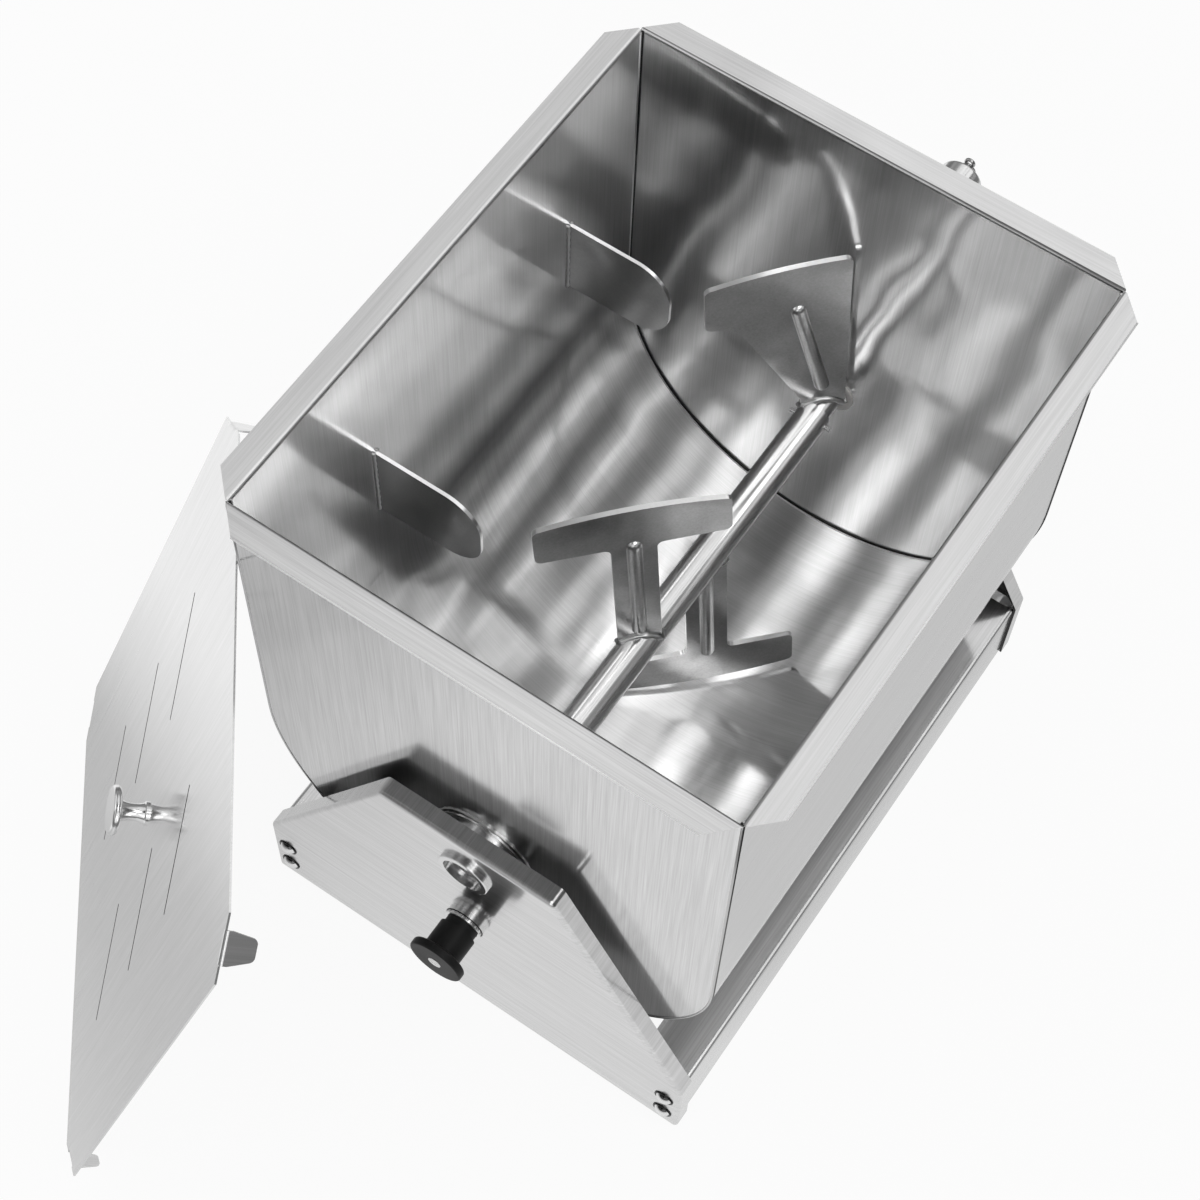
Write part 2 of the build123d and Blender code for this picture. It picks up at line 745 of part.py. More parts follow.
def lid_knob():
    """Spool knob turned from bar."""
    top = lid_sheet + lid_knob_height
    rim = top - lid_knob_rim
    foot = lid_knob_base_radius
    flat = lid_knob_rim_radius - lid_knob_rim / 3
    corners = [
        (0, lid_sheet),
        (foot, lid_sheet),
        (foot, lid_sheet + 1.2),
        (foot - 0.9, lid_sheet + 1.8),
        (foot, rim),
        (flat, rim),
        (flat, top),
        (0, top),
        (0, lid_sheet),
    ]
    edges = [Line(a, b) for a, b in zip(corners, corners[1:])]
    waist = (lid_knob_waist_radius, lid_sheet + 0.4 * lid_knob_height)
    edges[3] = ThreePointArc(corners[3], waist, corners[4])
    edges[5] = ThreePointArc(corners[5], (lid_knob_rim_radius, (rim + top) / 2), corners[6])
    knob = revolve(Plane.XZ * make_face(Curve() + edges), axis=Axis.Z)
    bore = Cylinder(lid_screw_radius + seat, lid_screw_depth + fine)
    knob -= Pos(0, 0, lid_sheet + lid_screw_depth / 2) * bore
    return lid_frame().location * knob


def lid_knob_screw():
    head = Rot(180, 0, 0) * dome(4.5, 2.4)
    start = -lid_washer - 0.1
    end = lid_sheet + lid_screw_depth - 0.5
    shank = Pos(0, 0, (start + end) / 2) * Cylinder(lid_screw_radius, end - start)
    return lid_frame().location * (Pos(0, 0, -lid_washer) * head + shank)


def lid_knob_washer():
    washer = Cylinder(lid_washer_radius, lid_washer) - Cylinder(lid_screw_radius + seat, 2 * lid_washer)
    return lid_frame().location * (Pos(0, 0, -lid_washer / 2) * washer)


def front_axle_stub():
    body = rod(spindle_radius, stub_outer_end, stub_outer_end + stub_length)
    return on_shaft(chamfer(body.edges().group_by(Axis.Y)[-1], 0.8))


def inner_spindle_bush():
    body = rod(nylon_flange_radius, half_length - nylon_flange, half_length)
    body += rod(nylon_radius, half_length - nylon_flange, half_length + nylon_length)
    return on_shaft(body - rod(spindle_radius + running, half_length - 5, half_length + 20))


def outer_spindle_bush():
    body = rod(nylon_cap_radius, journal_end, journal_end + nylon_cap)
    body += rod(nylon_radius, journal_end - nylon_length, journal_end + nylon_cap)
    return on_shaft(body - rod(spindle_radius + running, journal_end - 20, journal_end + 5))


def front_thrust_washer():
    return on_shaft(ring(tube_radius, spindle_radius + running, -half_length, tube_front_end - 0.1))


def build_parts():
    front_holes = stand_holes() + [(plunger_barrel_radius, 0.0, plunger_height)]
    right = rail()
    bush = bearing_bush()
    t_rib = ((0.0, t_rib_foot), (0.0, head_inner_edge))
    end_rib = ((0.0, end_rib_foot), (-end_rib_lean, end_tab_low + blade_corner))
    parts = {
        "front_stand": stand(front_holes),
        "rear_stand": rear_copy(stand(stand_holes())),
        "right_rail": right,
        "left_rail": mirror(right, about=Plane.YZ),
        "stand_screws": at_each_screw(stand_screw()),
        "stand_nuts": at_each_screw(stand_nut()),
        "rubber_feet": at_each_foot(rubber_foot()),
        "foot_screws": at_each_foot(foot_screw()),
        "foot_nuts": at_each_foot(foot_nut()),
        "front_bearing_bush": bush,
        "rear_bearing_bush": rear_copy(bush),
        "plunger_barrel": plunger_barrel(),
        "plunger_guide": plunger_guide(),
        "plunger_collar": plunger_collar(),
        "plunger_nut": plunger_nut(),
        "plunger_spring": plunger_spring(),
        "plunger_pin": plunger_pin(),
        "plunger_knob": plunger_knob(),
        "plunger_cap": plunger_cap(),
        "hopper_shell": hopper_shell(),
        "front_wall": end_wall(spindle_radius),
        "rear_wall": rear_copy(end_wall(nylon_radius)),
        "front_trunnion": trunnion(spindle_radius),
        "rear_trunnion": rear_copy(trunnion(nylon_radius)),
        "locking_boss": locking_boss(),
        "front_axle_stub": front_axle_stub(),
        "inner_spindle_bush": inner_spindle_bush(),
        "outer_spindle_bush": outer_spindle_bush(),
        "front_thrust_washer": front_thrust_washer(),
        "mixer_tube": mixer_tube(),
        "drive_spindle": drive_spindle(),
        "drive_pin": drive_pin(),
        "front_end_paddle": paddle(end_outline(), end_rib, -end_station, True),
        "rear_end_paddle": paddle(end_outline(), end_rib, end_station, False),
        "crank_arm": crank_arm(),
        "crank_hub": crank_hub(),
        "crank_hub_pin": crank_hub_pin(),
        "crank_washer": crank_washer(),
        "grip_spindle": grip_spindle(),
        "grip_washers": grip_washers(),
        "split_pin": split_pin(),
        "crank_grip": crank_grip(),
        "lid_panel": lid_panel(),
        "lid_knob": lid_knob(),
        "lid_knob_screw": lid_knob_screw(),
        "lid_knob_washer": lid_knob_washer(),
    }
    for name, station in baffle_stations.items():
        parts[name] = baffle(station)
    for name, station in t_stations.items():
        parts[name] = paddle(t_outline(), t_rib, station, name == "rear_t_paddle")
    return parts


os.makedirs("parts", exist_ok=True)
for name, shape in build_parts().items():
    export_step(shape, f"parts/{name}.step")
    print(name, round(shape.volume), shape.is_valid)
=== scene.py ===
from math import cos, pi, radians, sin, sqrt

import bmesh
import bpy
from mathutils import Matrix, Vector


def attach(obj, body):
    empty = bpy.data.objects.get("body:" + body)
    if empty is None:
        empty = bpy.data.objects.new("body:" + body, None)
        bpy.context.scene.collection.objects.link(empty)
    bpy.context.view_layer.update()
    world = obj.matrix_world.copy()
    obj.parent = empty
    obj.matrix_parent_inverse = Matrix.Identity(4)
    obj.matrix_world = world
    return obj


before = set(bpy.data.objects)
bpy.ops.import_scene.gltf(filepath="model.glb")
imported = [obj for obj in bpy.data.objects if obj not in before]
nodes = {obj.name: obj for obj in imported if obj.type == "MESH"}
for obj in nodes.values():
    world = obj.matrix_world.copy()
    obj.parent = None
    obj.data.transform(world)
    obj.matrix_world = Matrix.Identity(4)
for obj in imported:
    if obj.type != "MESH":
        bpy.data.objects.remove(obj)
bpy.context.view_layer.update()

scene = bpy.context.scene
print("frame loaded:", len(nodes), "nodes")

# metres and degrees, the same places as in the model
shaft = dict(height=0.189, tubeRadius=0.010, turn=-4.7)
hopper = dict(halfWidth=0.140, halfLength=0.170, sheet=0.0012, rim=0.4045)
# across and along are the lid's middle in its own plane, and the slots lie within their reach of it
lidPose = dict(
    heading=37.2, lean=20.25, across=0.1045, along=0.0659, outward=(-0.7473, -0.5672, 0.3461),
    slotsAcross=0.1, slotsAlong=0.135, slotSide=0.5,
)
# where the brush lines change their way: by how a face is turned, or by its height
grainEnds = dict(flat=0.72, rimBand=0.003, bottom=0.09, bottomUp=0.3, foldedEdge=0.6)


class Wire:
    # one output of a node, so that shader maths reads as plain arithmetic
    def __init__(self, finish, socket):
        self.finish = finish
        self.socket = socket

    def maths(self, operation, first, second=None):
        ins = {0: first} if second is None else {0: first, 1: second}
        return self.finish.add("ShaderNodeMath", {"operation": operation}, ins)

    def __add__(self, other): return self.maths("ADD", self, other)
    def __radd__(self, other): return self.maths("ADD", other, self)
    def __sub__(self, other): return self.maths("SUBTRACT", self, other)
    def __rsub__(self, other): return self.maths("SUBTRACT", other, self)
    def __mul__(self, other): return self.maths("MULTIPLY", self, other)
    def __rmul__(self, other): return self.maths("MULTIPLY", other, self)
    def __truediv__(self, other): return self.maths("DIVIDE", self, other)
    def __abs__(self): return self.maths("ABSOLUTE", self)
    def __gt__(self, other): return self.maths("GREATER_THAN", self, other)
    def __lt__(self, other): return self.maths("LESS_THAN", self, other)


class Finish:
    # a node tree being built up, for a material or for the world
    def __init__(self, tree):
        self.tree = tree
        tree.nodes.clear()

    def add(self, kind, settings=None, sockets=None, out=0):
        node = self.tree.nodes.new(kind)
        for key, value in (settings or {}).items():
            if key == "stops":
                ramp = node.color_ramp.elements
                while len(ramp) < len(value):
                    ramp.new(1.0)
                for stop, (place, level) in zip(ramp, value):
                    stop.position = place
                    stop.color = (level, level, level, 1.0)
            else:
                setattr(node, key, value)
        for key, value in (sockets or {}).items():
            if isinstance(value, Wire):
                self.tree.links.new(value.socket, node.inputs[key])
            else:
                node.inputs[key].default_value = value
        return Wire(self, node.outputs[out]) if node.outputs else node

    def place(self):
        # where a point of the surface is on the object, which moves with the body
        return self.add("ShaderNodeTexCoord", out="Object")

    def facing(self):
        return self.add("ShaderNodeTexCoord", out="Normal")

    def parts(self, vector):
        first = self.add("ShaderNodeSeparateXYZ", None, {0: vector})
        return [Wire(self, o) for o in first.socket.node.outputs]

    def vector(self, x, y, z):
        return self.add("ShaderNodeCombineXYZ", None, {0: x, 1: y, 2: z})

    def noise(self, vector, scale=1.0, detail=2.0, rough=0.5):
        sockets = {"Vector": vector, "Scale": scale, "Detail": detail, "Roughness": rough}
        return self.add("ShaderNodeTexNoise", None, sockets)

    def dot(self, vector, axis):
        kind = {"operation": "DOT_PRODUCT"}
        return self.add("ShaderNodeVectorMath", kind, {0: vector, 1: tuple(axis)}, out="Value")

    def ramp(self, value, stops):
        return self.add("ShaderNodeValToRGB", {"stops": stops}, {0: value})

    def step(self, value, low, high):
        # rises smoothly from 0 to 1 as the value goes from low to high
        kind = {"interpolation_type": "SMOOTHSTEP"}
        return self.add("ShaderNodeMapRange", kind, {"Value": value, "From Min": low, "From Max": high})

    def mix(self, share, dark, light):
        return self.add("ShaderNodeMix", {"data_type": "RGBA"}, {0: share, 6: dark, 7: light}, out=2)


def newMaterial(name):
    material = bpy.data.materials.new(name)
    material.use_nodes = True
    return material, Finish(material.node_tree)


def shade(level, warmth=0.0):
    return (level * (1 + warmth), level, level * (1 - warmth), 1.0)


def surface(finish, look, share, rough, height, metallic=1.0, paintedShade=None, gloss=0.5):
    # height is in millimetres; the mask given as paintedShade lays painted shade, a near-black colour
    # standing in for the shade in gaps and slots
    colour = finish.mix(share, look["dark"], look["light"])
    # painted shade: the near-black colour is mixed over the sheet where the mask says
    if paintedShade is not None:
        colour = finish.mix(paintedShade, colour, look["paintedShade"])
    sockets = {
        "Base Color": colour,
        "Metallic": metallic,
        "Roughness": rough,
        "Specular IOR Level": gloss,
        "Normal": finish.add("ShaderNodeBump", None, {"Strength": 1.0, "Distance": 0.001, "Height": height}),
    }
    body = finish.add("ShaderNodeBsdfPrincipled", None, sockets)
    if "clear" in look:  # the sharper part of the reflection, which lies over the soft one
        sharp = finish.add("ShaderNodeBsdfPrincipled", None, dict(sockets, Roughness=rough * look["sharp"]))
        body = finish.add("ShaderNodeMixShader", None, {0: look["clear"], 1: body, 2: sharp})
    finish.add("ShaderNodeOutputMaterial", None, {"Surface": body})


def grain(finish, p, way):
    # the coordinate across the brush lines, and the one along them
    x, y, z = finish.parts(p)
    n = finish.parts(finish.facing())
    if way == "endWall":  # upright on the wall, lengthwise on its flange
        flange = abs(n[2]) > grainEnds["flat"]
        return y * flange + x * (1 - flange), x * flange + z * (1 - flange)
    if way == "shell":  # round the bowl inside, lengthwise on the flanges and outside
        inward = n[0] * x < 0.0
        bowl = inward * (1 - (z > hopper["rim"] - grainEnds["rimBand"]))
        bottom = (z < grainEnds["bottom"]) * (n[2] > grainEnds["bottomUp"])
        bowl = bowl.maths("MAXIMUM", bowl, bottom)
        turn = x + z
        return y * bowl + turn * (1 - bowl), turn * bowl + y * (1 - bowl)
    if way == "stand":  # lengthwise on the face, across the folded edges
        edge = abs(n[1]) < grainEnds["foldedEdge"]
        return (x + z) * edge + z * (1 - edge), y * edge + x * (1 - edge)
    if way == "rail":
        return x + z, y
    heading, lean = radians(lidPose["heading"]), radians(lidPose["lean"])
    width = (sin(heading), -cos(heading), 0.0)
    up = (cos(heading) * sin(lean), sin(heading) * sin(lean), cos(lean))
    return finish.dot(p, width), finish.dot(p, up)


def brushed(name, way, look):
    material, finish = newMaterial(name)
    p = finish.place()
    across, along = grain(finish, p, way)
    lines = finish.vector(across * look["lines"], along * look["stretch"], 0.3)
    bands = finish.vector(across * look["bands"], along * look["bandStretch"], 4.1)
    fine = finish.noise(lines, detail=2, rough=0.7)
    broad = finish.noise(bands, detail=2, rough=0.6)
    cloud = finish.noise(p, look["cloud"])
    wave = finish.noise(p, look["waveScale"], detail=1, rough=0.4)
    share = 0.5 + (fine - 0.5) * look["contrast"] + (broad - 0.5) * look["contrast"] * look["bandShare"]
    paintedShade = None
    if way == "lid":  # painted shade: the cut sides of the slots are painted dark, for the shade inside the narrow slots
        side = abs(finish.dot(finish.facing(), lidPose["outward"])) < lidPose["slotSide"]
        paintedShade = side * (abs(across - lidPose["across"]) < lidPose["slotsAcross"])
        paintedShade = paintedShade * (abs(along - lidPose["along"]) < lidPose["slotsAlong"])
    elif "paintedShade" in look:  # painted shade: the inner faces of the stands are painted near-black, for the shade and dark reflections in the narrow gap between stand and wall
        paintedShade = finish.parts(finish.facing())[1] * finish.parts(p)[1] < -look["inward"]
    rough = look["rough"] + (fine - 0.5) * look["spread"] + (cloud - 0.5) * look["spread"]
    height = fine * look["lineDepth"] + wave * look["waveDepth"]
    surface(finish, look, share, rough, height, paintedShade=paintedShade)
    return material


def mottled(name, look):
    # laser-cut plate with its mill finish, and cut edges painted lighter as painted highlight
    material, finish = newMaterial(name)
    p = finish.place()
    grains = finish.noise(p, look["grains"], rough=0.6)
    patches = finish.noise(p, look["patches"])
    cloud = finish.noise(p, look["cloud"])
    # painted highlight: faces that are not the flat side get a lighter colour
    cut = (abs(finish.dot(finish.facing(), look["face"])) < look["edge"]) * (1 - look["plain"])
    mottle = (grains - 0.5) * look["grainShare"] + (patches - 0.5) * look["patchShare"]
    share = look["plain"] * (1 + mottle + (cloud - 0.5) * look["cloudShare"]) + cut
    rough = look["rough"] + (patches - 0.5) * look["spread"] + (grains - 0.5) * look["spread"]
    surface(finish, look, share, rough, patches * look["patchDepth"] + cloud * look["cloudDepth"])
    return material


def drawn(name, look):
    # bar or tube with faint lines along the shaft
    material, finish = newMaterial(name)
    p = finish.place()
    x, y, z = finish.parts(p)
    angle = x.maths("ARCTAN2", x, z - shaft["height"])
    lines = finish.noise(finish.vector(angle * look["lines"], y * look["stretch"], 1.7), detail=3, rough=0.6)
    marks = finish.noise(p, look["marks"], detail=3, rough=0.6)
    share = 0.5 + (lines - 0.5) * look["lineShare"] + (marks - 0.5) * look["markShare"]
    rough = look["rough"] + (lines - 0.5) * look["spread"] + (marks - 0.5) * look["spread"]
    surface(finish, look, share, rough, (lines + marks) * look["depth"])
    return material


def polished(name, look):
    material, finish = newMaterial(name)
    p = finish.place()
    haze = finish.noise(p, look["haze"], detail=3, rough=0.6)
    marks = finish.noise(p, look["marks"], rough=0.7)
    share = 0.5 + (haze - 0.5) * look["hazeShare"]
    if "paintedDarkTop" in look:  # painted reflection: darker where it faces up and lighter below, standing in for the dark surroundings and bright floor a dome mirrors
        up = finish.step(finish.parts(finish.facing())[2], *look["paintedDarkTop"])
        share = (share + look["paintedSideLift"]) * (1 - up)
    rough = look["rough"] + (haze - 0.5) * look["spread"] + (marks - 0.5) * look["spread"]
    surface(finish, look, share, rough, marks * look["depth"], look["metal"])
    return material


def moulded(name, look):
    material, finish = newMaterial(name)
    p = finish.place()
    fine = finish.noise(p, look["fine"], rough=0.6)
    patches = finish.noise(p, look["patches"])
    share = 0.5 + (patches - 0.5) * look["contrast"] + (fine - 0.5) * look["contrast"]
    rough = look["rough"] + (patches - 0.5) * look["patchSpread"] + (fine - 0.5) * look["fineSpread"]
    surface(finish, look, share, rough, fine * look["depth"], 0.0, gloss=look["gloss"])
    return material


# lines, bands, grains, patches, marks, haze and clouds count per metre, and a bar's lines per radian;
# shares, contrasts and spreads are strengths, and depths are millimetres
sheetLook = dict(
    dark=shade(0.60), light=shade(1.0), contrast=1.3, rough=0.31, spread=0.04, clear=0.74, sharp=0.40,
    lines=1300.0, stretch=14.0, lineDepth=0.005, bands=286.0, bandStretch=5.0, bandShare=0.2,
    cloud=7.0, waveScale=11.0, waveDepth=0.6, inward=0.1,
)
# painted light: the shell and the rear wall get a lighter steel than the other sheets, so that the hopper's
# inside, lit only by bounces, comes out brighter
rearWallLook = dict(sheetLook, dark=shade(0.72), waveDepth=4.5)
shellLook = dict(sheetLook, dark=shade(0.72), waveScale=5.0, waveDepth=2.0)
# painted shade: standLook's near-black is laid on the stands' inner faces
standLook = dict(sheetLook, waveDepth=0.3, paintedShade=shade(0.03))
railLook = dict(sheetLook, waveDepth=0.3)
# painted shade: lidLook's near-black is laid on the slots' cut sides
lidLook = dict(sheetLook, dark=shade(0.70), light=shade(0.94), waveDepth=0.4, paintedShade=shade(0.03))

# face is the way the flat side looks as the part stands
bladeLook = dict(
    dark=shade(0.30), light=shade(0.98), plain=0.4, rough=0.36, spread=0.06, clear=0.6, sharp=0.5,
    grains=700.0, grainShare=0.9, patches=90.0, patchShare=0.5, patchDepth=0.03,
    cloud=22.0, cloudShare=0.6, cloudDepth=1.2, edge=0.6, face=(0.7047, -0.7071, 0.0579),
)
plateLook = dict(bladeLook, dark=shade(0.55), light=shade(1.0), face=(0.0, 1.0, 0.0))

barLook = dict(
    dark=shade(0.82), light=shade(1.0), rough=0.32, spread=0.05, clear=0.7, sharp=0.45,
    lines=20.0, stretch=12.0, lineShare=0.8, marks=160.0, markShare=0.5, depth=0.004,
)

polishLook = dict(
    dark=shade(0.50), light=shade(0.66), rough=0.20, spread=0.04, metal=1.0,
    haze=55.0, hazeShare=0.6, marks=700.0, depth=0.0004,
)
chromeLook = dict(polishLook, dark=shade(0.75), light=shade(0.95), rough=0.31, clear=0.74, sharp=0.2)
# painted reflection: the screw heads' black tops and bright sides
screwLook = dict(
    polishLook, dark=shade(0.02), light=shade(1.0), rough=0.30, clear=0.74, sharp=0.3,
    paintedDarkTop=(0.40, 0.80), paintedSideLift=0.4,
)
weldLook = dict(polishLook, dark=shade(0.55), light=shade(0.75), rough=0.32)
# painted highlight: a near-white, mostly unmetallic colour for the flanges' edge lines
paintedHighlightEdgeLook = dict(polishLook, dark=shade(0.94), light=shade(1.0), rough=0.4, metal=0.2)
seamLook = dict(polishLook, dark=shade(0.02), light=shade(0.05), rough=0.30)

nylonLook = dict(
    dark=shade(0.70, 0.02), light=shade(0.82, 0.02), rough=0.45, contrast=0.6, gloss=0.5, depth=0.003,
    fine=1400.0, fineSpread=0.1, patches=60.0, patchSpread=0.12,
)
capLook = dict(nylonLook, dark=shade(0.92), light=shade(1.0), rough=0.35, depth=0.002)
knobLook = dict(nylonLook, dark=shade(0.012), light=shade(0.020), rough=0.42, depth=0.01, gloss=0.15)
rubberLook = dict(nylonLook, dark=shade(0.02), light=shade(0.03), rough=0.72, depth=0.02, gloss=0.3)

finishes = {
    "frontWall": brushed("frontWallSheet", "endWall", sheetLook),
    "rearWall": brushed("rearWallSheet", "endWall", rearWallLook),
    "shell": brushed("shellSheet", "shell", shellLook),
    "stand": brushed("standSheet", "stand", standLook),
    "rail": brushed("railSheet", "rail", railLook),
    "lid": brushed("lidSheet", "lid", lidLook),
    "blade": mottled("cutBlade", bladeLook),
    "plate": mottled("cutPlate", plateLook),
    "bar": drawn("drawnBar", barLook),
    "chrome": polished("brightChrome", chromeLook),
    "screw": polished("domeScrew", screwLook),
    "steel": polished("plainSteel", polishLook),
    "weld": polished("weldBead", weldLook),
    "paintedHighlightEdge": polished("paintedHighlightEdge", paintedHighlightEdgeLook),
    "seam": polished("darkSeam", seamLook),
    "blackPlastic": moulded("blackPlastic", knobLook),
    "rubber": moulded("blackRubber", rubberLook),
    "nylon": moulded("whiteNylon", nylonLook),
    "cap": moulded("paleCap", capLook),
}

wears = {
    "frontWall": ["front_wall"],
    "rearWall": ["rear_wall"],
    "shell": ["hopper_shell"],
    "stand": ["front_stand", "rear_stand"],
    "rail": ["left_rail", "right_rail"],
    "lid": ["lid_panel"],
    "blade": ["front_end_paddle", "front_t_paddle", "rear_t_paddle", "rear_end_paddle"],
    "plate": ["front_baffle", "rear_baffle", "crank_arm"],
    "bar": [
        "mixer_tube", "drive_spindle", "front_trunnion", "rear_trunnion", "front_axle_stub", "crank_hub",
        "crank_grip",
    ],
    "screw": ["stand_screws"],
    "chrome": ["front_bearing_bush", "rear_bearing_bush", "plunger_collar", "lid_knob"],
    "steel": [
        "stand_nuts", "foot_screws", "foot_nuts", "plunger_barrel", "plunger_guide", "plunger_nut",
        "plunger_spring", "plunger_pin", "locking_boss", "drive_pin", "crank_hub_pin", "grip_spindle",
        "grip_washers", "split_pin", "lid_knob_screw", "lid_knob_washer",
    ],
    "blackPlastic": ["plunger_knob"],
    "rubber": ["rubber_feet"],
    "nylon": ["inner_spindle_bush", "outer_spindle_bush", "front_thrust_washer", "crank_washer"],
    "cap": ["plunger_cap"],
}
for finishName, names in wears.items():
    for name in names:
        piece = nodes[name]
        piece.data.materials.clear()
        piece.data.materials.append(finishes[finishName])
print("finishes:", len(finishes))


def addPiece(name, mesh, body, finishName, smooth):
    # the finished mesh becomes a piece that rides on its body
    bmesh.ops.recalc_face_normals(mesh, faces=mesh.faces)
    data = bpy.data.meshes.new(name)
    mesh.to_mesh(data)
    mesh.free()
    for face in data.polygons:
        face.use_smooth = smooth
    data.materials.append(finishes[finishName])
    thing = bpy.data.objects.new(name, data)
    scene.collection.objects.link(thing)
    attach(thing, body)


def joinRings(mesh, near, far):
    count = len(near)
    for k in range(count):
        mesh.faces.new((near[k], near[(k + 1) % count], far[(k + 1) % count], far[k]))


def bead(name, points, radius, body, finishName, closed=False, ripple=0.0):
    # a round bead laid along points, with the ripples of a weld if asked
    sides = 8
    count = len(points)
    mesh = bmesh.new()
    rings = []
    sideways = None
    for i, point in enumerate(points):
        ahead = points[(i + 1) % count] if closed else points[min(i + 1, count - 1)]
        behind = points[i - 1] if closed else points[max(i - 1, 0)]
        along = (Vector(ahead) - Vector(behind)).normalized()
        # each ring keeps the turn of the one before
        sideways = along.orthogonal() if sideways is None else sideways - along * sideways.dot(along)
        sideways.normalize()
        other = along.cross(sideways)
        size = radius * (1 + ripple * sin(i * pi / 2))
        ring = []
        for k in range(sides):
            a = 2 * pi * k / sides
            ring.append(mesh.verts.new(Vector(point) + (sideways * cos(a) + other * sin(a)) * size))
        rings.append(ring)
    for near, far in zip(rings, rings[1:]):
        joinRings(mesh, near, far)
    if closed:
        joinRings(mesh, rings[-1], rings[0])
    else:
        mesh.faces.new(reversed(rings[0]))
        mesh.faces.new(rings[-1])
    addPiece(name, mesh, body, finishName, True)


def ringPoints(centre, radius, y, steps=96):
    # a circle round an axis along Y
    turns = [2 * pi * i / steps for i in range(steps)]
    return [(centre[0] + radius * cos(a), y, centre[1] + radius * sin(a)) for a in turns]


def turned(name, centre, profile, body, finishName):
    # a ring turned round an axis along Y, from a closed outline of radius and y
    mesh = bmesh.new()
    rings = [[mesh.verts.new(v) for v in ringPoints(centre, radius, y)] for radius, y in profile]
    for near, far in zip(rings, rings[1:] + rings[:1]):
        joinRings(mesh, near, far)
    addPiece(name, mesh, body, finishName, False)


def wallLine(y, radius, top, steps=72):
    # down one side of the hopper, round the bowl and up the other side
    middle = (top + shaft["height"]) / 2
    points = [(-radius, y, top), (-radius, y, middle)]
    for i in range(steps + 1):
        a = pi * i / steps
        points.append((-radius * cos(a), y, shaft["height"] - radius * sin(a)))
    return points + [(radius, y, middle), (radius, y, top)]


# bead radii, and how far the beads lie in from the sheet and below the rim
seams = dict(
    gap=0.0007, edge=0.0005, outer=0.0006,
    gapInset=0.0002, weldInset=0.0014, outerInset=0.0003, innerDrop=0.001, outerDrop=0.003,
)


def makeSeams():
    # where each end wall meets the shell: a dark line and a bright one, inside and outside
    inside = hopper["halfWidth"]
    outside = inside + hopper["sheet"]
    high = hopper["rim"] - seams["innerDrop"]
    low = hopper["rim"] - seams["outerDrop"]
    for side, name in ((-1, "front"), (1, "rear")):
        wall = side * hopper["halfLength"]
        face = wall + side * hopper["sheet"]
        lines = [
            ("_inner_seam", wall - side * seams["gapInset"], inside - seams["gapInset"], high, "gap", "seam"),
            ("_inner_edge", wall - side * seams["weldInset"], inside, high, "edge", "weld"),
            ("_outer_edge", face, outside - seams["outerInset"], low, "outer", "weld"),
            ("_outer_seam", wall, outside, low, "edge", "seam"),
        ]
        for word, y, radius, top, size, finishName in lines:
            bead(name + word, wallLine(y, radius, top), seams[size], "hopper", finishName)


# cornerLine is what x and y add up to where the flanges' corners are cut
edges = dict(reach=0.155, endReach=0.185, cornerLine=0.3124, radius=0.0005, drop=0.0002)


def makeEdges():
    # painted highlight: near-white lines along the outer edges of the right and the front flange
    x, y, total = edges["reach"], edges["endReach"], edges["cornerLine"]
    z = hopper["rim"] - edges["drop"]
    lines = {
        "right_flange_edge": [(x, x - total, z), (x, total - x, z)],
        "front_flange_edge": [(y - total, -y, z), (total - y, -y, z)],
    }
    for name, ends in lines.items():
        bead(name, ends, edges["radius"], "hopper", "paintedHighlightEdge")


screws = dict(across=0.131, heights=(0.019, 0.041), face=0.1892, ring=0.0055, radius=0.0006, steps=40)


def makeScrewRings():
    # painted shade: a dark line round each screw head, for the shade where the head meets the plate
    number = 0
    for side in (-1, 1):
        for x in (-screws["across"], screws["across"]):
            for z in screws["heights"]:
                number += 1
                circle = ringPoints((x, z), screws["ring"], side * screws["face"], screws["steps"])
                bead("screw_ring_%d" % number, circle, screws["radius"], "base", "seam", closed=True)


# the band lies from sunk inside the collar to proud of it
collar = dict(
    height=0.123, radius=0.0115, root=-0.1890, knurl=-0.1922, end=-0.1945, sunk=0.0004, proud=0.0002,
    grooveBack=0.0002, lipSunk=0.0001, lipBack=0.0003, line=0.0003,
)


def makeCollarTrim():
    # a plain band next to the plate, a groove drawn as a near-black line of painted shade, and a bright lip
    # at the outer end
    centre = (0.0, collar["height"])
    low, high = collar["radius"] - collar["sunk"], collar["radius"] + collar["proud"]
    band = [(low, collar["root"]), (high, collar["root"]), (high, collar["knurl"]), (low, collar["knurl"])]
    turned("collar_band", centre, band, "base", "chrome")
    groove = ringPoints(centre, high, collar["knurl"] - collar["grooveBack"])
    # painted shade: the groove is a near-black line rather than a cut
    bead("collar_groove", groove, collar["line"], "base", "seam", closed=True)
    lip = ringPoints(centre, collar["radius"] - collar["lipSunk"], collar["end"] + collar["lipBack"])
    bead("collar_lip", lip, collar["line"], "base", "chrome", closed=True)


def onMixer(x, y, z):
    # a place given from the shaft's axis, as the mixer stands
    turn = radians(shaft["turn"])
    return (x * cos(turn) + z * sin(turn), y, shaft["height"] + z * cos(turn) - x * sin(turn))


# each root gives its place along the shaft, the foot's two ends and whether the blade hangs down
paddleWelds = dict(
    radius=0.0016, plate=0.0015, gap=0.0003, steps=14, ripple=0.18,
    roots={
        "front_end_weld": (-0.157, -0.012, 0.014, True),
        "front_t_weld": (-0.027, -0.012, 0.012, False),
        "rear_t_weld": (0.037, -0.012, 0.012, True),
        "rear_end_weld": (0.157, -0.012, 0.014, False),
    },
)


